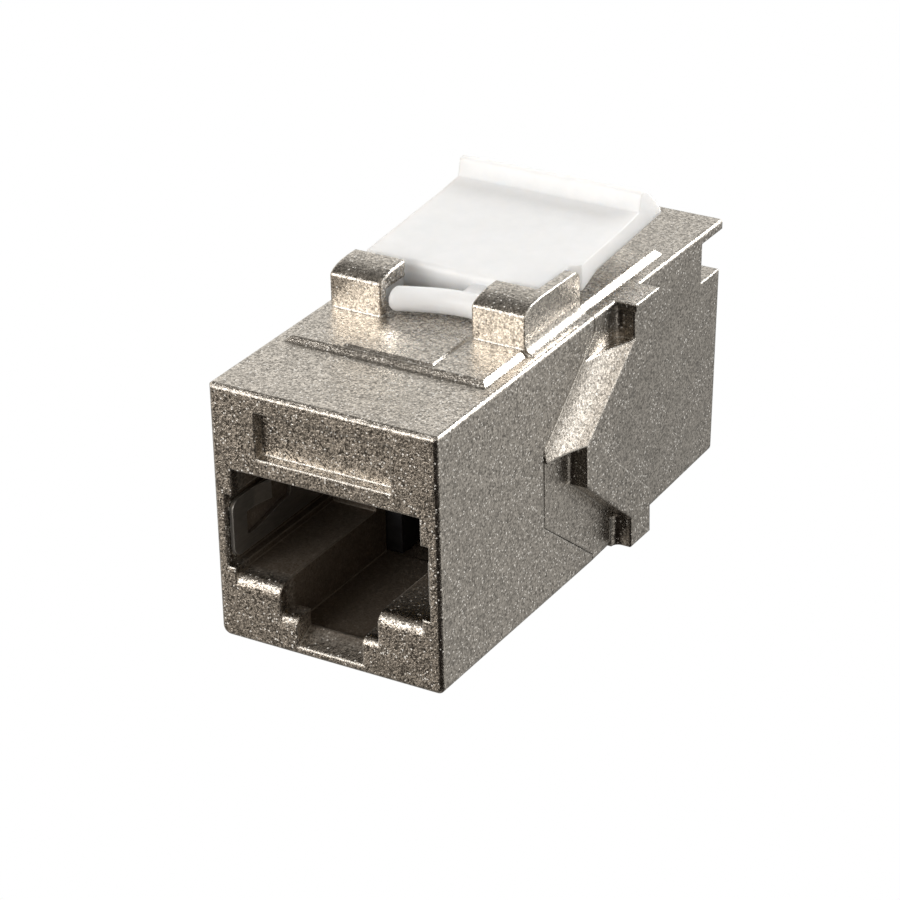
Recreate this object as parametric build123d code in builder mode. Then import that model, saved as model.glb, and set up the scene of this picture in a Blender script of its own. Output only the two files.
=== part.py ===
# Ethernet keystone coupler: two die-cast shells that meet at a zigzag seam, a moulded latch,
# and inside them two contact carriers, sixteen contacts, four shield springs and a circuit board.
# X is across, Y runs from the front port to the rear port, Z is up. Millimetres.
# The origin is at the middle of the bottom edge of the front face.
import os
from math import atan2, cos, degrees, radians, sin

from build123d import *

os.makedirs("parts", exist_ok=True)

# Casting, outside
body_width = 14.6
body_height = 15.8
body_length = 33.5
top_edge_round = 0.22
bottom_edge_round = 0.5
face_edge_round = 0.2
rear_drop = 0.1
rear_bottom_inset = 0.55

# Zigzag seam between the two shells, as it shows on the sides, from the circuit board inside
seam_top_behind_board = 0.75
seam_waist_before_board = 5.25
seam_foot_behind_board = 0.35
seam_shoulder_drop = 1.0
seam_waist_top_z = 9.95
seam_waist_bottom_z = 5.05
seam_foot_z = 0.7
seam_gap = 0.08

# Raised pad on the top, with a low strip between the ears
pad_half_width = 6.2
pad_front_y = 6.75
pad_rear_y = 26.8
pad_rise = 0.3
strip_half_width = 2.9
strip_front_y = 6.95
strip_rise = 0.1

# Ears that hold the latch: a post and a hook each, and an outer arm on the right one
ear_front_y = 11.1
ear_inner_x = 2.95
ear_outer_x = 6.35
ear_rise = 2.5
ear_brow = 0.6
ear_brow_run = 2.0
post_depth = 0.65
hook_reach = 2.7
hook_thickness = 1.0
arm_thickness = 0.7
arm_slope = 0.1
arm_end_round = 0.55
arm_foot_round = 0.75
ear_edge_round = 0.12

# Zigzag ribs on the sides
rib_rise = 1.1
rib_edge_round = 0.12
rib_tab_behind_seam = 2.8
rib_waist_behind_seam = 3.05
rib_foot_behind_seam = 2.8
rib_shoulder_z = 13.45
rib_waist_top_z = 9.15
rib_waist_bottom_z = 6.5
rib_ankle_z = 2.05
rib_foot_z = 0.1
rib_depth = 2.4
rib_waist_depth = 3.4
rib_rear_shoulder_z = 11.9
rib_rear_waist_top_z = 8.6
rib_rear_waist_bottom_z = 6.8
rib_rear_ankle_z = 2.95
tab_height = 0.5
tab_lip = 0.2
tab_drop = 0.05
scoop_width = 2.4
scoop_hollow = 0.16
cove_round = 0.45

# Ports: the same stepped opening at both ends, with a wider room behind its front wall
port_half_width = 6.1
port_floor_z = 4.1
port_ceiling_z = 10.75
port_depth = 11.2
port_lip = 0.75
step_half_width = 3.2
step_floor_z = 2.3
step_lip = 0.5
front_wall = 1.45
notch_half_width = 2.15
notch_front_z = 0.52
notch_rear_z = 1.3
latch_room_z = 1.05
ledge_y = 10.15
ledge_z = 4.5
pocket_half_width = 6.6
rear_pocket_half_width = 6.4
pocket_depth = 10.2
pocket_bottom_z = 4.5
pocket_top_z = 9.1

# Sunk panel over the front port
panel_half_width = 4.35
panel_height = 2.85
panel_top_margin = 1.2
panel_depth = 0.55
panel_bevel = 0.12

# Rear end: a thin top plate over an open slot
top_plate_thickness = 0.6
slot_height = 2.6
slot_depth = 2.65
block_setback = 0.2

# Room inside the shells
wall = 1.2
floor_wall = 1.0
roof_wall = 1.1
window_start = 4.0
window_half_width = 4.9

# Circuit board across the middle
board_thickness = 1.2
board_clearance = 0.1
hole_clearance = 0.04

# Contact carriers
carrier_clearance = 0.08
carrier_roof = 0.6
comb_slot_width = 0.54
nose_pocket_depth = 3.6
nose_pocket_top_z = 8.7

# Contacts
contact_count = 8
contact_pitch = 1.016
contact_width = 0.42
contact_thickness = 0.34
contact_bend = 0.45
contact_roof_clearance = 0.5
row_spacing = 1.15
contact_jog_front = 12.0
contact_jog_rear = 13.2
contact_nose = 4.9
contact_tip_gap = 0.9
contact_tip_z = 9.0
tail_length = 0.5

# Shield springs in the side pockets: a sheet with an open window, and a leaf across it
spring_thickness = 0.22
spring_clearance = 0.04
spring_start = 0.35
spring_end_gap = 0.5
spring_bottom_z = 4.9
spring_top_z = 8.45
spring_corner = 0.7
spring_window_start = 1.7
spring_window_end = 6.15
spring_window_low_z = 5.75
spring_window_high_z = 6.3
spring_window_corner = 0.3
leaf_bottom_z = 7.25
leaf_bend = 2.5
leaf_tip = 3.85
leaf_reach = 0.42

# Latch
latch_half_width = 6.1
latch_arm_clearance = 0.15
latch_tilt = 4.0
trunnion_radius = 0.6
trunnion_clearance = 0.12
trunnion_behind_post = 0.35
plate_top = 1.2
plate_thickness = 1.12
block_front = 1.9
block_drop = 0.38
block_rear = 5.5
block_fade = 1.7
nose_round = 0.35
neck_corner = 0.5
ridge_front = 12.5
ridge_height = 1.05
ridge_lean = 0.32
ridge_top = 0.45
ridge_bulge = 0.15
ridge_round = 0.25
ridge_root_round = 0.15
latch_reach = 15.15
latch_end_height = 0.2
latch_end_undercut = 0.1
thumb_start = 10.2
thumb_rise = 0.1
web_half_height = 0.38
web_overlap = 0.1
right_pin_overhang = 0.7
left_pin_setback = 0.5
bar_radius = 0.72
bar_lift = 0.14
bar_neck_left = 1.0
bar_neck_depth = 1.9
bar_neck_height = 1.0
bar_neck_lift = 0.18
bar_ear_clearance = 0.15
bar_end_gap = 0.22
bar_end_round = 0.3
# the bar's middle line from right to left: place across, distance behind the hinge
bar_points = [(2.7, 0.35), (1.4, 0.42), (0, 0.23), (-1.2, -0.15), (-2.1, -0.5), (-3.4, -0.9)]

half_width = body_width / 2
board_y = (body_length - block_setback) / 2
board_front_y = board_y - board_thickness / 2
seam_top_y = board_y + seam_top_behind_board
seam_waist_y = board_y - seam_waist_before_board
seam_foot_y = board_y + seam_foot_behind_board
seam_shoulder_z = body_height - seam_shoulder_drop
rib_tab_y = seam_top_y + rib_tab_behind_seam
rib_waist_y = seam_waist_y + rib_waist_behind_seam
rib_foot_y = seam_foot_y + rib_foot_behind_seam
panel_top_z = body_height - panel_top_margin
panel_bottom_z = panel_top_z - panel_height
slot_roof_z = body_height - rear_drop - top_plate_thickness
slot_floor_z = slot_roof_z - slot_height
spring_end = pocket_depth - spring_end_gap
contact_tip = port_depth - contact_tip_gap
pad_top_z = body_height + pad_rise
ear_top_z = pad_top_z + ear_rise
rear_face_y = body_length - block_setback
hinge_y = ear_front_y + post_depth + trunnion_behind_post + trunnion_radius
hinge_z = ear_top_z - hook_thickness - trunnion_clearance - trunnion_radius
# how far a raised feature starts below the face that it stands on
embed = 0.6


def facing_front(y):
    """Plane across the body at depth y, seen from the front, X right and Z up."""
    return Plane.XZ.offset(-y)


def from_side(x):
    """Plane along the body at place x, with Y and Z as its own directions."""
    return Plane.YZ.offset(x)


def outline(points):
    """Closed straight-sided face through the points, in the open sketch."""
    Polygon(*points, align=None)


def body_section(top_half, bottom_half, height):
    """Outline of the casting across its length, with its corners rounded."""
    outline([(-bottom_half, 0), (bottom_half, 0), (top_half, height), (-top_half, height)])
    fillet(vertices().group_by(Axis.Y)[-1], top_edge_round)
    fillet(vertices().group_by(Axis.Y)[0], bottom_edge_round)


def seam_line(shift):
    """Points of the seam from top to bottom, moved along the body by shift."""
    return [
        (seam_top_y + shift, ear_top_z + 1),
        (seam_top_y + shift, seam_shoulder_z),
        (seam_waist_y + shift, seam_waist_top_z),
        (seam_waist_y + shift, seam_waist_bottom_z),
        (seam_foot_y + shift, seam_foot_z),
        (seam_foot_y + shift, -1),
    ]


def block(half, low_z, high_z, start, end):
    """Block across the middle of the body, between two heights and two depths, in the open part."""
    with Locations((0, (start + end) / 2, (low_z + high_z) / 2)):
        Box(2 * half, end - start, high_z - low_z)


# The port as a solid to cut with, from in front of the face inwards
def port_cutter(pocket_half):
    with BuildPart() as cutter:
        # the plug's body, and the step below it, each with a rounded lip at the face
        for half, floor_z, lip, end in [
            (port_half_width, port_floor_z, port_lip, ledge_y),
            (step_half_width, step_floor_z, step_lip, front_wall),
        ]:
            block(half, floor_z, port_ceiling_z, -1, end)
            with BuildSketch(from_side(0)):
                with BuildLine():
                    edge = CenterArc((lip, floor_z - lip), lip, 90, 90)
                    Polyline(edge @ 1, (-1, floor_z - lip), (-1, floor_z), edge @ 0)
                make_face()
            extrude(amount=half, both=True)
        # notch through the front wall, over a sloping floor
        with BuildSketch(from_side(0)):
            outline(
                [
                    (-1, notch_front_z),
                    (0, notch_front_z),
                    (front_wall, notch_rear_z),
                    (front_wall, port_floor_z),
                    (-1, port_floor_z),
                ]
            )
        extrude(amount=notch_half_width, both=True)
        # behind the front wall: room for the plug's latch, and the end of the port over its ledges
        block(step_half_width, latch_room_z, port_ceiling_z, front_wall, port_depth)
        block(port_half_width, ledge_z, port_ceiling_z, front_wall, port_depth)
        # side pockets for the springs, and the window in the ceiling for the contacts
        block(pocket_half, pocket_bottom_z, pocket_top_z, -1, pocket_depth)
        block(window_half_width, port_ceiling_z, body_height - roof_wall, window_start, port_depth)
    return cutter.part


# Bright scoop that leads from the seam up to the outer face of the rib
scoop_run = Vector(rib_tab_y - rib_waist_y, rib_shoulder_z - rib_waist_top_z)
scoop_angle = degrees(atan2(scoop_run.Y, scoop_run.X))
scoop_plane = Plane(
    origin=(half_width, rib_waist_y, rib_waist_top_z),
    x_dir=(0, -sin(radians(scoop_angle)), cos(radians(scoop_angle))),
    z_dir=(0, cos(radians(scoop_angle)), sin(radians(scoop_angle))),
)
with BuildPart() as scoop:
    with BuildSketch(scoop_plane):
        with BuildLine():
            hollow = SagittaArc((0, rib_rise), (scoop_width, 0), -scoop_hollow)
            Polyline(hollow @ 1, (scoop_width, -embed), (-embed, -embed), (-embed, rib_rise), hollow @ 0)
        make_face()
    extrude(amount=2 * scoop_run.length, both=True)
    with BuildSketch(Plane.XY.offset(rib_waist_top_z)):
        with Locations((half_width, (seam_waist_y + seam_gap + rib_tab_y + rib_depth) / 2)):
            Rectangle(4 * rib_rise, rib_tab_y + rib_depth - seam_waist_y - seam_gap)
    extrude(amount=rib_shoulder_z - rib_waist_top_z, mode=Mode.INTERSECT)

# Rib of the right side, with a cove where each of its front faces meets the wall
with BuildPart() as rib:
    with BuildSketch(from_side(half_width - embed)):
        outline(
            [
                (rib_tab_y, body_height - tab_height),
                (rib_tab_y, rib_shoulder_z),
                (rib_waist_y, rib_waist_top_z),
                (rib_waist_y, rib_waist_bottom_z),
                (rib_foot_y, rib_ankle_z),
                (rib_foot_y, rib_foot_z),
                (rib_foot_y + rib_depth, rib_foot_z),
                (rib_foot_y + rib_depth, rib_rear_ankle_z),
                (rib_waist_y + rib_waist_depth, rib_rear_waist_bottom_z),
                (rib_waist_y + rib_waist_depth, rib_rear_waist_top_z),
                (rib_tab_y + rib_depth, rib_rear_shoulder_z),
                (rib_tab_y + rib_depth, body_height - tab_height),
            ]
        )
    extrude(amount=embed + rib_rise)
    fillet(faces().sort_by(Axis.X)[-1].edges(), rib_edge_round)
    for face_y, bottom_z, top_z in [
        (rib_tab_y, rib_shoulder_z, body_height - tab_height),
        (rib_waist_y, rib_waist_bottom_z, rib_waist_top_z),
        (rib_foot_y, rib_foot_z, rib_ankle_z),
    ]:
        with BuildSketch(Plane.XY.offset(bottom_z)):
            with BuildLine():
                cove_centre = (half_width + cove_round, face_y - cove_round)
                cove = CenterArc(cove_centre, cove_round, 90, 90)
                Polyline(
                    cove @ 1,
                    (half_width - embed, face_y - cove_round),
                    (half_width - embed, face_y + embed),
                    (half_width + cove_round, face_y + embed),
                    cove @ 0,
                )
            make_face()
        extrude(amount=top_z - bottom_z)
    add(scoop.part)
    with BuildSketch(Plane.XY.offset(body_height - tab_height)):
        with Locations((half_width + (rib_rise + tab_lip - embed) / 2, rib_tab_y + rib_depth / 2)):
            Rectangle(rib_rise + tab_lip + embed, rib_depth + 2 * tab_lip)
    extrude(amount=tab_height - tab_drop)

# Right ear: a post and a hook over the latch's pin
brow_centre = (ear_front_y + ear_brow_run, ear_top_z - ear_brow)
with BuildPart() as ear:
    with BuildSketch(from_side(ear_inner_x)):
        with BuildLine():
            brow = EllipticalCenterArc(brow_centre, ear_brow_run, ear_brow, 90, arc_size=90)
            Polyline(
                brow @ 0,
                (ear_front_y + hook_reach, ear_top_z),
                (ear_front_y + hook_reach, ear_top_z - hook_thickness),
                (ear_front_y + post_depth, ear_top_z - hook_thickness),
                (ear_front_y + post_depth, body_height),
                (ear_front_y, body_height),
                brow @ 1,
            )
        make_face()
    extrude(amount=ear_outer_x - ear_inner_x)
    sides = faces().filter_by(Axis.X).edges()
    fillet(sides.filter_by(lambda edge: edge.center().Z > body_height), ear_edge_round)

# The whole casting before it is parted
with BuildPart() as casting:
    with BuildSketch(facing_front(0)):
        body_section(half_width, half_width, body_height)
    extrude(amount=-seam_foot_y)
    with BuildSketch(facing_front(seam_foot_y)):
        body_section(half_width, half_width, body_height)
    with BuildSketch(facing_front(body_length)):
        body_section(half_width, half_width - rear_bottom_inset, body_height - rear_drop)
    loft()
    chamfer(faces().sort_by(Axis.Y)[0].outer_wire().edges(), face_edge_round)

    # pad and strip on the top
    with BuildSketch(Plane.XY.offset(body_height - embed)):
        with Locations((0, (pad_front_y + pad_rear_y) / 2)):
            side = pad_rise + embed
            Rectangle(2 * (pad_half_width + side), pad_rear_y - pad_front_y + 2 * side)
    extrude(amount=pad_rise + embed, taper=45)
    with BuildSketch(Plane.XY.offset(pad_top_z)):
        strip_end_y = ear_front_y + hook_reach
        with Locations((0, (strip_front_y + strip_end_y) / 2)):
            Rectangle(2 * strip_half_width, strip_end_y - strip_front_y)
    extrude(amount=strip_rise, taper=45)

    # ears, and the ribs on the sides
    add(ear.part)
    add(rib.part)
    mirror(about=Plane.YZ)

    # arm on the outside of the right ear, with its wide foot
    with BuildSketch(from_side(ear_outer_x - arm_thickness)):
        with BuildLine():
            brow = EllipticalCenterArc(brow_centre, ear_brow_run, ear_brow, 90, arc_size=90)
            Polyline(
                brow @ 0,
                (seam_top_y, ear_top_z - arm_slope),
                (seam_top_y, body_height - embed),
                (ear_front_y, body_height - embed),
                brow @ 1,
            )
        make_face()
        fillet(vertices().sort_by_distance((seam_top_y, ear_top_z))[0], arm_end_round)
    extrude(amount=arm_thickness)
    foot_centre = (ear_outer_x + arm_foot_round, body_height + arm_foot_round)
    with BuildSketch(facing_front(ear_front_y)):
        with BuildLine():
            foot = CenterArc(foot_centre, arm_foot_round, 180, 90)
            Polyline(foot @ 1, (ear_outer_x - arm_thickness, body_height - embed), foot @ 0)
        make_face()
    extrude(amount=-(seam_top_y - ear_front_y))

# Everything in front of the seam, and everything behind it
with BuildPart() as front_side:
    with BuildSketch(from_side(0)):
        outline([(-1, ear_top_z + 1)] + seam_line(0) + [(-1, -1)])
    extrude(amount=body_width, both=True)
with BuildPart() as rear_side:
    with BuildSketch(from_side(0)):
        outline(seam_line(seam_gap) + [(body_length + 1, -1), (body_length + 1, ear_top_z + 1)])
    extrude(amount=body_width, both=True)

# Room inside the shells, between the two ports
with BuildPart() as chamber:
    with BuildSketch(facing_front(port_depth)):
        with Locations((0, (floor_wall + body_height - roof_wall) / 2)):
            Rectangle(body_width - 2 * wall, body_height - roof_wall - floor_wall)
    extrude(amount=-(rear_face_y - 2 * port_depth))

front_port = port_cutter(pocket_half_width)
rear_port = port_cutter(rear_pocket_half_width).rotate(Axis.Z, 180).translate((0, rear_face_y, 0))
with BuildPart() as front_housing:
    add(casting.part & front_side.part)
    add([front_port, rear_port], mode=Mode.SUBTRACT)
    add(chamber.part, mode=Mode.SUBTRACT)
    with BuildSketch(facing_front(panel_depth)):
        with Locations((0, (panel_bottom_z + panel_top_z) / 2)):
            Rectangle(2 * (panel_half_width - panel_bevel), panel_top_z - panel_bottom_z - 2 * panel_bevel)
    with BuildSketch(facing_front(0)):
        with Locations((0, (panel_bottom_z + panel_top_z) / 2)):
            Rectangle(2 * panel_half_width, panel_top_z - panel_bottom_z)
    loft(mode=Mode.SUBTRACT)

with BuildPart() as rear_housing:
    add(casting.part & rear_side.part)
    add([front_port, rear_port], mode=Mode.SUBTRACT)
    add(chamber.part, mode=Mode.SUBTRACT)
    with BuildSketch(from_side(0)):
        outline(
            [
                (rear_face_y, -1),
                (rear_face_y, slot_floor_z),
                (body_length - slot_depth, slot_floor_z),
                (body_length - slot_depth, slot_roof_z),
                (body_length + 1, slot_roof_z),
                (body_length + 1, -1),
            ]
        )
    extrude(amount=body_width, both=True, mode=Mode.SUBTRACT)

# Contact places across the port, first on the left
contact_places = [(i - (contact_count - 1) / 2) * contact_pitch for i in range(contact_count)]

# Contact carrier of the front port; the rear one is the same part turned round
carrier_rear_y = board_front_y - board_clearance
carrier_half = body_width / 2 - wall - carrier_clearance
carrier_top_z = body_height - roof_wall - carrier_clearance
comb_front_y = window_start + carrier_clearance
high_row_z = carrier_top_z - carrier_roof - contact_roof_clearance - contact_thickness / 2
low_row_z = high_row_z - row_spacing
with BuildPart() as carrier:
    with BuildSketch(facing_front(port_depth + carrier_clearance)):
        with Locations((0, (floor_wall + carrier_clearance + carrier_top_z) / 2)):
            Rectangle(2 * carrier_half, carrier_top_z - floor_wall - carrier_clearance)
    extrude(amount=-(carrier_rear_y - port_depth - carrier_clearance))
    with BuildSketch(facing_front(comb_front_y)):
        with Locations((0, (port_ceiling_z + carrier_clearance + carrier_top_z) / 2)):
            Rectangle(
                2 * (window_half_width - carrier_clearance),
                carrier_top_z - port_ceiling_z - carrier_clearance,
            )
    extrude(amount=-(port_depth + 1 - comb_front_y))
    # relief for the nose of the plug
    with BuildSketch(facing_front(port_depth)):
        with Locations((0, nose_pocket_top_z / 2)):
            Rectangle(2 * notch_half_width, nose_pocket_top_z)
    extrude(amount=-nose_pocket_depth, mode=Mode.SUBTRACT)
    # one slot for each contact, open below in the comb and a tunnel behind it
    with BuildSketch(from_side(0)):
        outline(
            [
                (comb_front_y - 1, port_ceiling_z),
                (port_depth + carrier_clearance, port_ceiling_z),
                (port_depth + carrier_clearance, low_row_z - contact_thickness),
                (carrier_rear_y + 1, low_row_z - contact_thickness),
                (carrier_rear_y + 1, carrier_top_z - carrier_roof),
                (comb_front_y - 1, carrier_top_z - carrier_roof),
            ]
        )
    slot = extrude(amount=comb_slot_width / 2, both=True, mode=Mode.PRIVATE)
    with Locations(*[(x, 0, 0) for x in contact_places]):
        add(slot, mode=Mode.SUBTRACT)


def contact(place, row_z):
    """Stamped spring contact: a tail through the board, a jog down to one level, a bent leg."""
    tail_y = board_y + board_thickness / 2 + tail_length
    points = [(tail_y, row_z)]
    if row_z > low_row_z:
        points += [(contact_jog_rear, row_z), (contact_jog_front, low_row_z)]
    points += [(contact_nose, low_row_z), (contact_tip, contact_tip_z)]
    with BuildPart() as blade:
        with BuildSketch(from_side(place)):
            with BuildLine():
                FilletPolyline(*points, radius=contact_bend)
            trace(line_width=contact_thickness)
        extrude(amount=contact_width / 2, both=True)
    return blade.part


def row_of(index):
    """Height of a contact's tail: they stand in two rows on the board."""
    return low_row_z if index % 2 == 0 else high_row_z


def turned(shape):
    """The same piece at the rear port."""
    return shape.rotate(Axis.Z, 180).translate((0, rear_face_y, 0))


# Circuit board with a hole for each tail
tail_places = []
for index, place in enumerate(contact_places):
    tail_places.append((place, row_of(index)))
    tail_places.append((-place, row_of(index)))
with BuildPart() as circuit_board:
    with BuildSketch(facing_front(board_front_y)):
        with Locations((0, (floor_wall + carrier_clearance + carrier_top_z) / 2)):
            Rectangle(2 * carrier_half, carrier_top_z - floor_wall - carrier_clearance)
        with Locations(*sorted(set(tail_places))):
            Rectangle(
                contact_width + 2 * hole_clearance,
                contact_thickness + 2 * hole_clearance,
                mode=Mode.SUBTRACT,
            )
    extrude(amount=-board_thickness)


def shield_spring(pocket_half):
    """Sheet spring on the wall of a side pocket, with a leaf that bends inwards over its window."""
    sheet_x = pocket_half - spring_clearance - spring_thickness
    middle_x = sheet_x + spring_thickness / 2
    with BuildPart() as spring:
        with BuildSketch(from_side(sheet_x)):
            with Locations(((spring_start + spring_end) / 2, (spring_bottom_z + spring_top_z) / 2)):
                RectangleRounded(spring_end - spring_start, spring_top_z - spring_bottom_z, spring_corner)
            with BuildSketch(from_side(sheet_x), mode=Mode.SUBTRACT):
                with BuildLine():
                    low = (spring_window_start, spring_window_low_z)
                    high = (spring_window_end, spring_window_high_z)
                    wave = Spline(low, high, tangents=[(1, 0), (1, 0)])
                    Polyline(
                        wave @ 1,
                        (spring_window_end, spring_top_z + spring_thickness),
                        (spring_window_start, spring_top_z + spring_thickness),
                        wave @ 0,
                    )
                make_face()
                for corner in (low, high):
                    fillet(vertices().sort_by_distance(corner)[0], spring_window_corner)
        extrude(amount=spring_thickness)
        with BuildSketch(Plane.XY.offset(leaf_bottom_z)):
            with BuildLine():
                root = (middle_x, spring_window_start - spring_thickness)
                bend = (middle_x, leaf_bend)
                tip = (middle_x + spring_thickness / 2 - leaf_reach, leaf_tip)
                FilletPolyline(root, bend, tip, radius=leaf_bend / 2)
            trace(line_width=spring_thickness)
        extrude(amount=spring_top_z - leaf_bottom_z)
    return spring.part


# Latch: its side profile is drawn in its own tilted plane, measured from the hinge
def latch_plane(x):
    tilt = radians(latch_tilt)
    return Plane(origin=(x, hinge_y, hinge_z), x_dir=(0, cos(tilt), sin(tilt)), z_dir=(1, 0, 0))


plate_bottom = plate_top - plate_thickness
thumb_top = plate_top + thumb_rise
ridge_top_height = thumb_top + ridge_height
ridge_front_top = ridge_front + ridge_lean
latch_end_y = hinge_y + latch_reach + 1
neck_half_width = ear_outer_x - arm_thickness - latch_arm_clearance
neck_end_y = seam_top_y + seam_gap + latch_arm_clearance
# front bar: cut off straight at its free left end
with BuildPart() as bar:
    with BuildLine():
        bar_line = Spline(*[(x, hinge_y + behind, hinge_z + bar_lift) for x, behind in bar_points])
    with BuildSketch(Plane(origin=bar_line @ 0, z_dir=bar_line % 0)):
        Circle(bar_radius)
    sweep(path=bar_line)
    split(bisect_by=from_side(-ear_inner_x + bar_end_gap), keep=Keep.TOP)
    fillet(faces().sort_by(Axis.X)[0].edges(), bar_end_round)

with BuildPart() as latch:
    with BuildSketch(latch_plane(-latch_half_width)):
        with BuildLine():
            slope = SagittaArc(
                (ridge_front_top + ridge_top, ridge_top_height),
                (latch_reach, latch_end_height),
                ridge_bulge,
            )
            Polyline(
                slope @ 1,
                (latch_reach - latch_end_undercut, plate_bottom),
                (block_rear + block_fade, plate_bottom),
                (block_rear, -block_drop),
                (block_front, -block_drop),
                (block_front, plate_top),
                (thumb_start, plate_top),
                (ridge_front, thumb_top),
                (ridge_front_top, ridge_top_height),
                slope @ 0,
            )
        make_face()
        fillet(vertices().sort_by_distance((block_front, plate_top))[0], nose_round)
        fillet(vertices().sort_by_distance((ridge_front_top, ridge_top_height))[0], ridge_round)
        fillet(vertices().sort_by_distance((ridge_front, thumb_top))[0], ridge_root_round)
    extrude(amount=2 * latch_half_width)
    # narrower beside the arm, with a slanting shoulder behind it
    with BuildSketch(Plane.XY.offset(body_height)):
        outline(
            [
                (-latch_half_width, hinge_y),
                (neck_half_width, hinge_y),
                (neck_half_width, neck_end_y),
                (latch_half_width, neck_end_y + neck_corner),
                (latch_half_width, latch_end_y),
                (-latch_half_width, latch_end_y),
            ]
        )
    extrude(amount=body_height, mode=Mode.INTERSECT)
    # round pins under the hooks, with the webs that carry them
    pin_inner = ear_inner_x + trunnion_clearance
    pin_spans = [
        (-latch_half_width, -pin_inner - left_pin_setback),
        (pin_inner - right_pin_overhang, neck_half_width),
    ]
    for start, end in pin_spans:
        with BuildSketch(latch_plane(start)):
            Circle(trunnion_radius)
            with Locations(((block_front + web_overlap) / 2, 0)):
                Rectangle(block_front + web_overlap, 2 * web_half_height)
        extrude(amount=end - start)
    # the bar, joined to the block on the right
    add(bar.part)
    with BuildSketch(latch_plane(bar_neck_left)):
        with Locations((block_front + web_overlap - bar_neck_depth / 2, bar_neck_lift)):
            Rectangle(bar_neck_depth, bar_neck_height)
    extrude(amount=ear_inner_x - bar_ear_clearance - bar_neck_left)

pieces = {
    "front_housing": front_housing.part,
    "rear_housing": rear_housing.part,
    "latch": latch.part,
    "front_carrier": carrier.part,
    "rear_carrier": turned(carrier.part),
    "circuit_board": circuit_board.part,
    "front_right_spring": shield_spring(pocket_half_width),
    "rear_left_spring": turned(shield_spring(rear_pocket_half_width)),
}
pieces["front_left_spring"] = mirror(pieces["front_right_spring"], about=Plane.YZ)
pieces["rear_right_spring"] = mirror(pieces["rear_left_spring"], about=Plane.YZ)
for index, place in enumerate(contact_places):
    pieces[f"front_contact_{index + 1}"] = contact(place, row_of(index))
    pieces[f"rear_contact_{index + 1}"] = turned(contact(place, row_of(index)))

for name, piece in pieces.items():
    piece.label = name
    export_step(piece, f"parts/{name}.step")
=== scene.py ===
"""Looks of the ethernet keystone coupler, in the frame of its CAD model. Metres, Z up."""

import math

import bpy
from mathutils import Matrix, Vector


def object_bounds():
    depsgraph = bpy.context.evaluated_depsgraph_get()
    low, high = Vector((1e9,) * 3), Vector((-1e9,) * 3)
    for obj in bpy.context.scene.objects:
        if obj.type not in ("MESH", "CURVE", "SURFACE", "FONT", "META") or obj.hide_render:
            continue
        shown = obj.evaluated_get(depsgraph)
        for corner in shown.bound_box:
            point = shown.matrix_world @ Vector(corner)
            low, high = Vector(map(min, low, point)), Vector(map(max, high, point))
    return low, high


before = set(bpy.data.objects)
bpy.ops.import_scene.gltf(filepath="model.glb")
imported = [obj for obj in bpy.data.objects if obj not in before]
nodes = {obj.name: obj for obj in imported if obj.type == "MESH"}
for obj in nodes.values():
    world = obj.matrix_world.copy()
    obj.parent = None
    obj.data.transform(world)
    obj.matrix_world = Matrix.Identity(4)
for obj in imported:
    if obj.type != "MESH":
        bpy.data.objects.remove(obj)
cad_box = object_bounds()
MM = 0.001
FRONT_Y, REAR_Y = cad_box[0][1], cad_box[1][1]
BLACK, WHITE = (0, 0, 0), (1, 1, 1)


class Nodes:
    """The nodes of a material or of the world, built a few at a time."""

    def __init__(self, owner, output):
        owner.use_nodes = True
        self.tree = owner.node_tree
        self.tree.nodes.clear()
        self.output = self.node(output).inputs["Surface"]

    def node(self, kind, **settings):
        made = self.tree.nodes.new(kind)
        for key, value in settings.items():
            setattr(made, key, value)
        return made

    def feed(self, socket, value):
        """Link a socket to another node's output, or set it to a plain value."""
        if isinstance(value, bpy.types.NodeSocket):
            self.tree.links.new(value, socket)
        else:
            socket.default_value = value

    def feed_colour(self, socket, value):
        self.feed(socket, value if isinstance(value, bpy.types.NodeSocket) else (*value, 1))

    def math(self, operation, a, b=0.0, c=0.0):
        made = self.node("ShaderNodeMath", operation=operation)
        for socket, value in zip(made.inputs, (a, b, c)):
            self.feed(socket, value)
        return made.outputs[0]

    def product(self, first, *others):
        for other in others:
            first = self.math("MULTIPLY", first, other)
        return first

    def vector_math(self, operation, a, b, output="Vector"):
        made = self.node("ShaderNodeVectorMath", operation=operation)
        self.feed(made.inputs[0], a)
        self.feed(made.inputs[1], b)
        return made.outputs[output]

    def split(self, vector):
        """X, Y and Z of a vector."""
        made = self.node("ShaderNodeSeparateXYZ")
        self.feed(made.inputs[0], vector)
        return list(made.outputs)

    def stretch(self, value, low, high, to_low=0.0, to_high=1.0, **settings):
        """Turn the range from low to high into the one from to_low to to_high, cut off at its ends."""
        made = self.node("ShaderNodeMapRange", clamp=True, **settings)
        for socket, number in zip(made.inputs, (value, low, high, to_low, to_high)):
            self.feed(socket, number)
        return made.outputs[0]

    def mix(self, factor, a, b):
        """Colour a where the factor is 0, colour b where it is 1."""
        made = self.node("ShaderNodeMix", data_type="RGBA")
        self.feed(made.inputs["Factor"], factor)
        self.feed_colour(made.inputs[6], a)
        self.feed_colour(made.inputs[7], b)
        return made.outputs[2]

    def plain(self, kind, colour):
        """A shader with one colour."""
        made = self.node(kind)
        self.feed_colour(made.inputs["Color"], colour)
        return made.outputs[0]

    def show(self, seen, other):
        """Give the camera one shader, and the rays that light the scene another."""
        made = self.node("ShaderNodeMixShader")
        rays = self.node("ShaderNodeLightPath")
        self.feed(made.inputs[0], rays.outputs["Is Camera Ray"])
        self.feed(made.inputs[1], other)
        self.feed(made.inputs[2], seen)
        self.feed(self.output, made.outputs[0])


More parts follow.
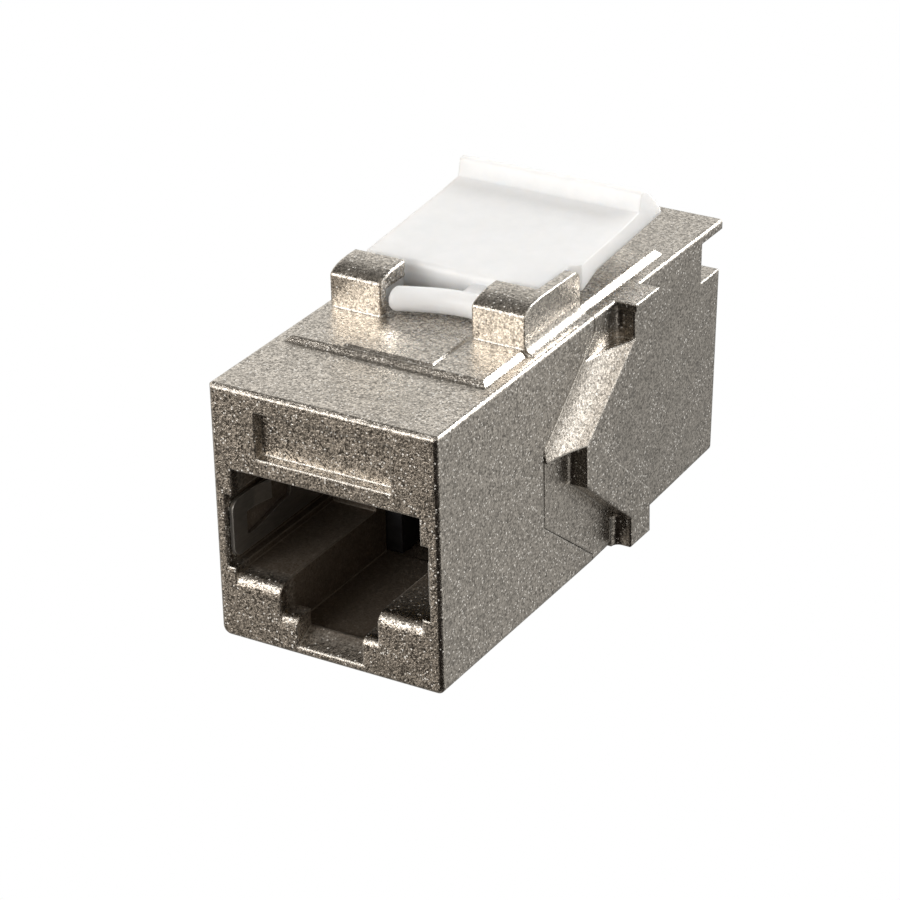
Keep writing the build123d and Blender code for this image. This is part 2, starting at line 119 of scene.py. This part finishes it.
class Shader(Nodes):
    """The material of a piece, with textures that stay with it when it moves."""

    # cosines of the turn in the normal at which an edge starts to show, and shows in full
    EDGE_STARTS, EDGE_FULL = 0.99, 0.8

    def __init__(self, name):
        self.material = bpy.data.materials.new(name)
        super().__init__(self.material, "ShaderNodeOutputMaterial")
        self.surface = self.node("ShaderNodeBsdfPrincipled")
        self.feed(self.output, self.surface.outputs[0])
        texture = self.node("ShaderNodeTexCoord")
        self.place = texture.outputs["Object"]
        self.facing = texture.outputs["Normal"]

    def noise(self, size, detail=2, rough=0.5, place=None):
        """Soft noise whose lumps are about size metres across."""
        made = self.node("ShaderNodeTexNoise")
        self.feed(made.inputs["Vector"], place or self.place)
        self.feed(made.inputs["Scale"], 1 / size)
        self.feed(made.inputs["Detail"], detail)
        self.feed(made.inputs["Roughness"], rough)
        return made.outputs[0]

    def spread(self, noise, low=0.0, high=1.0, reach=0.2):
        """Stretch a noise from reach below and above its middle to low and high."""
        return self.stretch(noise, 0.5 - reach, 0.5 + reach, low, high)

    def cells(self, size):
        """A random number for each cell of about size metres, and the distance from its middle."""
        made = self.node("ShaderNodeTexVoronoi", feature="F1")
        self.feed(made.inputs["Vector"], self.place)
        self.feed(made.inputs["Scale"], 1 / size)
        channels = self.node("ShaderNodeSeparateColor")
        self.feed(channels.inputs[0], made.outputs["Color"])
        return channels.outputs[0], made.outputs["Distance"]

    def bump(self, height, depth, strength, normal=None):
        """Normal of a surface that is raised by a height from 0 to 1, over a depth in metres."""
        made = self.node("ShaderNodeBump")
        self.feed(made.inputs["Height"], height)
        self.feed(made.inputs["Distance"], depth)
        self.feed(made.inputs["Strength"], strength)
        if normal is not None:
            self.feed(made.inputs["Normal"], normal)
        return made.outputs[0]

    def rounded(self, radius):
        """Normal of the surface as if its edges were rounded, and a mask of those edges."""
        made = self.node("ShaderNodeBevel", samples=6)
        self.feed(made.inputs["Radius"], radius)
        flat = self.node("ShaderNodeNewGeometry").outputs["Normal"]
        turn = self.vector_math("DOT_PRODUCT", made.outputs[0], flat, "Value")
        return made.outputs[0], self.stretch(turn, self.EDGE_STARTS, self.EDGE_FULL)

    def finish(self, **values):
        """Feed the surface's sockets, with _ for each space in their names."""
        for key, value in values.items():
            self.feed(self.surface.inputs[key.replace("_", " ")], value)
        return self.material


# Depths in from either end: the coarse grain is full to the first and ends at the second
COARSE_FULL, COARSE_ENDS = 0.9 * MM, 1.4 * MM
# In the ports the bare metal and its painted shade start at the first and are full at the second
BARE_SHADE_STARTS, BARE_SHADE_FULL = 0.5 * MM, 1.6 * MM
# At the right of the front port, from one X to the other, it comes to be full only at this depth
RIGHT_STARTS, RIGHT_FULL, BARE_SHADE_FULL_RIGHT = 2.5 * MM, 4.5 * MM, 7.0 * MM
# The zone that holds the walls of both ports, with soft limits below and above
ZONE_HALF, ZONE_BOTTOM, ZONE_TOP, ZONE_BLEND = 6.75 * MM, 0.3 * MM, 11.0 * MM, 0.1 * MM
# Painted shade: the colour gets a little darker from one Y to the other, towards the rear
REAR_SHADE_STARTS, REAR_SHADE_FULL = 9 * MM, 20 * MM
# Colours of the low and high grains, of broad clouds, of painted glints and painted edge highlights, and of
# the bare metal in the ports with its painted shade and painted edge highlight
PIT_TONE, NICKEL_TONE, CLOUD_TONE = (0.11, 0.1, 0.088), (1.0, 0.935, 0.85), (0.58, 0.54, 0.485)
GLINT_PAINT_TONE, EDGE_HIGHLIGHT_TONE = (0.95, 0.93, 0.89), (0.98, 0.95, 0.89)
BARE_SHADE_TONE, PORT_EDGE_HIGHLIGHT_TONE = (0.19, 0.145, 0.105), (0.8, 0.74, 0.66)


def coarse_faces(s, along):
    """1 on the faces round the ports, which are blasted more coarsely than the long sides."""
    in_front = s.stretch(along, FRONT_Y + COARSE_ENDS, FRONT_Y + COARSE_FULL)
    behind = s.stretch(along, REAR_Y - COARSE_ENDS, REAR_Y - COARSE_FULL)
    square_on = s.stretch(s.math("ABSOLUTE", s.split(s.facing)[1]), 0.6, 0.95)
    return s.product(s.math("ADD", in_front, behind), square_on)


def bare_shaded_port_walls(s, across, along, up):
    """1 on the walls inside the ports, where the casting is rough, brown and bare, and darkened with
    painted shade.
    """
    front_full = s.stretch(across, RIGHT_STARTS, RIGHT_FULL, FRONT_Y + BARE_SHADE_FULL, FRONT_Y + BARE_SHADE_FULL_RIGHT)
    return s.product(
        s.math("LESS_THAN", s.math("ABSOLUTE", across), ZONE_HALF),
        s.stretch(up, ZONE_TOP, ZONE_TOP - ZONE_BLEND),
        s.stretch(up, ZONE_BOTTOM, ZONE_BOTTOM + ZONE_BLEND),
        s.stretch(along, FRONT_Y + BARE_SHADE_STARTS, front_full),
        s.stretch(along, REAR_Y - BARE_SHADE_STARTS, REAR_Y - BARE_SHADE_FULL),
    )


def cast_metal():
    """Satin nickel over die-cast zinc: warm grey, grainy, with a painted highlight along its edges."""
    s = Shader("cast_shell")
    normal, edge = s.rounded(radius=0.2 * MM)
    grain = s.noise(size=0.125 * MM, rough=0.6)
    lumps = s.noise(size=2.2 * MM, detail=3, rough=0.55)
    pepper, _ = s.cells(size=0.118 * MM)
    # a painted glint: a bright, less metallic dot in the middle of about one cell in ten
    chance, from_middle = s.cells(size=0.14 * MM)
    painted_glint = s.product(s.stretch(chance, 0.86, 0.92), s.stretch(from_middle, 0.5, 0.28))
    across, along, up = s.split(s.place)
    coarse = coarse_faces(s, along)
    bare_and_shaded = bare_shaded_port_walls(s, across, along, up)

    # light and dark grains, with less contrast on the long sides
    grit = s.math("ADD", s.spread(grain, -0.25, 0.25, reach=0.08), s.spread(pepper, -0.5, 0.5, reach=0.4))
    contrast = s.stretch(coarse, 0, 1, 0.6, 1.0)
    average = 0.56
    tone = s.mix(s.math("MULTIPLY_ADD", grit, contrast, average), PIT_TONE, NICKEL_TONE)
    tone = s.mix(s.spread(lumps, 0, 0.25, reach=0.15), tone, CLOUD_TONE)
    # painted highlight: the colour is lighter along the edges
    tone = s.mix(s.product(edge, 0.75), tone, EDGE_HIGHLIGHT_TONE)
    # painted glints: bright dots in the colour
    tone = s.mix(painted_glint, tone, GLINT_PAINT_TONE)
    # painted shade, darker towards the rear
    tone = s.mix(s.stretch(along, REAR_SHADE_STARTS, REAR_SHADE_FULL, 0, 0.17), tone, BLACK)
    # painted shade inside the ports, together with their bare brown casting
    tone = s.mix(s.product(bare_and_shaded, 0.85), tone, BARE_SHADE_TONE)
    # painted highlight along the edges inside the ports
    tone = s.mix(s.product(bare_and_shaded, edge, 0.6), tone, PORT_EDGE_HIGHLIGHT_TONE)

    # the long sides are smoother than the faces round the ports, and the edges smoother still
    grip = s.math("MULTIPLY_ADD", edge, -0.6, s.stretch(coarse, 0, 1, 0.4, 1.0))
    wavy = s.bump(lumps, depth=0.05 * MM, strength=0.8, normal=normal)
    return s.finish(
        Base_Color=tone,
        Metallic=s.math("MULTIPLY_ADD", painted_glint, -0.8, s.stretch(bare_and_shaded, 0, 1, 1.0, 0.6)),
        Roughness=s.math("MULTIPLY_ADD", bare_and_shaded, 0.22, s.spread(grain, 0.32, 0.24, reach=0.15)),
        Normal=s.bump(grain, depth=0.055 * MM, strength=s.math("MAXIMUM", grip, 0.03), normal=wavy),
    )


def moulded(name, dark, light, rough, size, inside=0.0):
    """Moulded plastic with faint mottling and a fine skin; inside is the share of light that goes in."""
    s = Shader(name)
    normal, edge = s.rounded(radius=0.15 * MM)
    mottle = s.noise(size * 6, detail=3, rough=0.6)
    skin = s.noise(size)
    tone = s.mix(s.spread(mottle), dark, light)
    return s.finish(
        # painted highlight: the colour is lighter along the edges
        Base_Color=s.mix(s.product(edge, 0.5), tone, light),
        Roughness=s.spread(skin, rough - 0.05, rough + 0.08),
        Normal=s.bump(skin, depth=0.006 * MM, strength=0.6, normal=normal),
        Subsurface_Weight=inside,
        Subsurface_Radius=(1.0, 0.95, 0.9),
        Subsurface_Scale=1.6 * MM,
    )


def drawn_metal(name, dark, light, rough, line_scale):
    """Rolled or drawn metal with fine lines along Y, longer for a smaller line_scale."""
    s = Shader(name)
    normal, edge = s.rounded(radius=0.05 * MM)
    drawn_out = s.node("ShaderNodeMapping")
    s.feed(drawn_out.inputs["Vector"], s.place)
    s.feed(drawn_out.inputs["Scale"], (1, line_scale, 1))
    lines = s.noise(size=0.09 * MM, rough=0.6, place=drawn_out.outputs[0])
    blotch = s.noise(size=0.9 * MM)
    tone = s.mix(s.spread(lines), dark, light)
    tone = s.mix(s.stretch(blotch, 0.4, 0.7, 0, 0.3), tone, dark)
    return s.finish(
        # painted highlight: the edges are lighter and less metallic
        Base_Color=s.mix(s.product(edge, 0.8), tone, (0.96, 0.93, 0.88)),
        Metallic=s.stretch(edge, 0, 1, 0.85, 0.3),
        Roughness=s.spread(lines, rough - 0.06, rough + 0.08),
        Normal=s.bump(lines, depth=0.006 * MM, strength=0.6, normal=normal),
    )


def solder_mask():
    """Green solder mask with a faint woven ground."""
    s = Shader("board")
    weave = s.noise(size=0.25 * MM, rough=0.6)
    return s.finish(
        Base_Color=s.mix(s.spread(weave), (0.02, 0.12, 0.05), (0.05, 0.24, 0.1)),
        Roughness=s.spread(weave, 0.3, 0.42),
        Normal=s.bump(weave, depth=0.01 * MM, strength=0.5),
    )


# The look of each piece, by a word in its name
looks = {
    "housing": cast_metal(),
    "latch": moulded(
        "latch_plastic", (0.82, 0.835, 0.85), (0.86, 0.87, 0.885), rough=0.4, size=0.2 * MM, inside=0.9
    ),
    "board": solder_mask(),
    "carrier": moulded(
        "carrier_plastic", (0.012, 0.012, 0.013), (0.03, 0.03, 0.032), rough=0.42, size=0.15 * MM
    ),
    "contact": drawn_metal(
        "contact_plating", (0.62, 0.44, 0.16), (0.92, 0.72, 0.34), rough=0.24, line_scale=0.1
    ),
    "spring": drawn_metal(
        "spring_steel", (0.36, 0.35, 0.33), (0.48, 0.465, 0.44), rough=0.34, line_scale=0.12
    ),
}
for name, thing in nodes.items():
    look = next(material for word, material in looks.items() if word in name)
    for slot in thing.material_slots:
        slot.material = look

# Floor and backdrop: white in the picture, pale grey for the light it sends back, in no reflection
FLOOR_HALF = 1.2
FLOOR_GAP = 0.05 * MM


def stage_material():
    made = bpy.data.materials.new("stage_white")
    s = Nodes(made, "ShaderNodeOutputMaterial")
    pale = s.plain("ShaderNodeBsdfDiffuse", (0.6, 0.59, 0.57))
    s.show(s.plain("ShaderNodeEmission", WHITE), pale)
    return made


def floor_mesh():
    mesh = bpy.data.meshes.new("floor")
    z = cad_box[0][2] - FLOOR_GAP
    corners = [(x * FLOOR_HALF, y * FLOOR_HALF, z) for x, y in ((-1, -1), (1, -1), (1, 1), (-1, 1))]
    mesh.from_pydata(corners, [], [(0, 1, 2, 3)])
    mesh.materials.append(stage_material())
    floor = bpy.data.objects.new("floor", mesh)
    bpy.context.scene.collection.objects.link(floor)
    floor.visible_glossy = False
    return floor


floor_mesh()

# How bright the room round the part is, from -1 straight down to 1 straight up
ROOM_LIGHT = [(-1.0, 0.14), (-0.62, 0.29), (-0.4, 0.355), (-0.12, 0.6), (0.06, 0.93)]
ROOM_LIGHT += [(0.49, 1.0), (0.56, 0.3), (0.72, 0.1), (0.9, 0.12), (0.97, 0.6)]
ROOM_BLUE = 0.985
# It is warmer in front and lighter behind
FRONT_TINT, BACK_TINT = (0.98, 0.86, 0.74), (1.08, 1.07, 1.05)
# Patches of the room: where each lies, the cosines at which it starts and is full, and its colour
DARK_FRONT_RIGHT = ((0.5, -0.75, -0.42), 0.45, 0.76, (0.015, 0.012, 0.01))
PALE_RIGHT = ((0.86, 0.2, -0.46), 0.95, 0.99, (0.7, 0.68, 0.64))


def light_by_height(w, height):
    """Colour of the room at a height from -1 to 1."""
    ramp = w.node("ShaderNodeValToRGB")
    w.feed(ramp.inputs[0], w.stretch(height, -1, 1))
    elements = ramp.color_ramp.elements
    while len(elements) < len(ROOM_LIGHT):
        elements.new(0.5)
    for element, (level, light) in zip(elements, ROOM_LIGHT):
        element.position = (level + 1) / 2
        element.color = (light, light, light * ROOM_BLUE, 1)
    return ramp.outputs[0]


def studio_room():
    """World that is plain white for the camera, and the room for all other rays."""
    world = bpy.data.worlds.new("studio")
    bpy.context.scene.world = world
    w = Nodes(world, "ShaderNodeOutputWorld")
    direction = w.node("ShaderNodeTexCoord").outputs["Generated"]
    _, depth, height = w.split(direction)
    tint = w.mix(w.stretch(depth, -1, 1), FRONT_TINT, BACK_TINT)
    room = w.vector_math("MULTIPLY", light_by_height(w, height), tint)
    for centre, starts, full, colour in (DARK_FRONT_RIGHT, PALE_RIGHT):
        nearness = w.vector_math("DOT_PRODUCT", direction, Vector(centre).normalized(), "Value")
        patch = w.stretch(nearness, starts, full, interpolation_type="SMOOTHSTEP")
        room = w.mix(patch, room, colour)
    w.show(w.plain("ShaderNodeBackground", WHITE), w.plain("ShaderNodeBackground", room))


# Soft lamps, all turned to one point of the part
LIT_POINT = Vector((0, 0.015, 0.008))


def soft_lamp(name, place, size, power, colour=WHITE, mirrored=True):
    """A rectangular lamp, with its size and place in metres and its power in watts."""
    data = bpy.data.lights.new(name, "AREA")
    data.shape = "RECTANGLE"
    data.size, data.size_y = size
    data.energy = power
    data.color = colour
    lamp = bpy.data.objects.new(name, data)
    bpy.context.scene.collection.objects.link(lamp)
    place = Vector(place)
    turn = (LIT_POINT - place).to_track_quat("-Z", "Y").to_matrix().to_4x4()
    lamp.matrix_world = Matrix.Translation(place) @ turn
    lamp.visible_glossy = mirrored


studio_room()
soft_lamp("left", (-0.215, -0.34, 0.21), (0.20, 0.26), 0.62, (1.0, 0.99, 0.97))
soft_lamp("back right", (0.24, 0.38, 0.24), (0.16, 0.16), 1.6)
soft_lamp("right", (0.44, 0.19, 0.03), (0.14, 0.10), 0.1)
soft_lamp("overhead", (0.0, 0.05, 0.45), (0.20, 0.20), 0.42, mirrored=False)
soft_lamp("front", (-0.10, -0.42, 0.10), (0.20, 0.20), 0.7, mirrored=False)

# Camera at the photograph's view: place, turn and lens worked out from the object's edges
CAMERA_PLACE = Vector((91.7206, -137.3134, 96.8697)) * MM
AZIMUTH, ELEVATION, ROLL = (math.radians(angle) for angle in (31.223, 26.668, -1.378))
PHOTO_PIXELS, FOCAL_PIXELS = 900, 3428.6
SHIFT_X_PIXELS, SHIFT_Y_PIXELS = -5.76, -13.44
SENSOR_MILLIMETRES = 36


def photo_camera():
    lens = bpy.data.cameras.new("camera")
    lens.sensor_width = SENSOR_MILLIMETRES
    lens.lens = FOCAL_PIXELS / PHOTO_PIXELS * SENSOR_MILLIMETRES
    lens.shift_x = SHIFT_X_PIXELS / PHOTO_PIXELS
    lens.shift_y = SHIFT_Y_PIXELS / PHOTO_PIXELS
    lens.clip_start = 5 * MM
    camera = bpy.data.objects.new("camera", lens)
    bpy.context.scene.collection.objects.link(camera)
    turn = Matrix.Rotation(AZIMUTH, 4, "Z") @ Matrix.Rotation(math.pi / 2 - ELEVATION, 4, "X")
    camera.matrix_world = Matrix.Translation(CAMERA_PLACE) @ turn @ Matrix.Rotation(ROLL, 4, "Z")
    return camera


bpy.context.scene.camera = photo_camera()
bpy.context.scene.view_settings.view_transform = "Standard"
